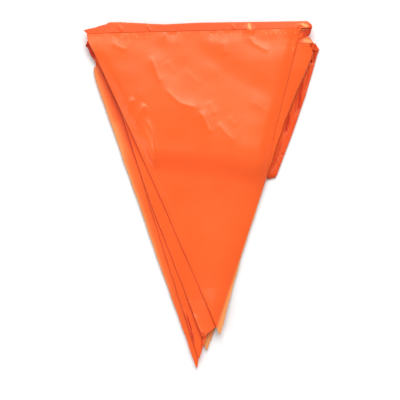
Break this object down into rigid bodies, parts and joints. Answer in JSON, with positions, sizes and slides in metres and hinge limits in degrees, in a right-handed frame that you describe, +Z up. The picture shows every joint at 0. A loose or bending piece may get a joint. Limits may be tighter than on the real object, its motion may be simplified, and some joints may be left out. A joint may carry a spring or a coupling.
{
  "type": "pennant bunting, folded up",
  "caption": "Folded pack of triangular plastic film pennants on one heading tape that zigzags through the pack, its free end turned down along one side.",
  "frame": {"origin": "on the flat underside of the lowest pennant, in the middle of the pack", "axes": "+X along the heading tape, +Y from the pennants' points up to the heading, +Z up from the surface the pack lies on"},
  "size_m": [0.2249, 0.3301, 0.0147],
  "materials": {
    "film": "soft gloss, slightly translucent film",
    "tape": "soft gloss, two layers of film"
  },
  "bodies": {
    "root": {"pennant_1": "film", "pennant_2": "film", "pennant_3": "film", "pennant_4": "film", "pennant_5": "film", "pennant_6": "film", "pennant_7": "film", "heading_tape": "tape"}
  },
  "joints": []
}
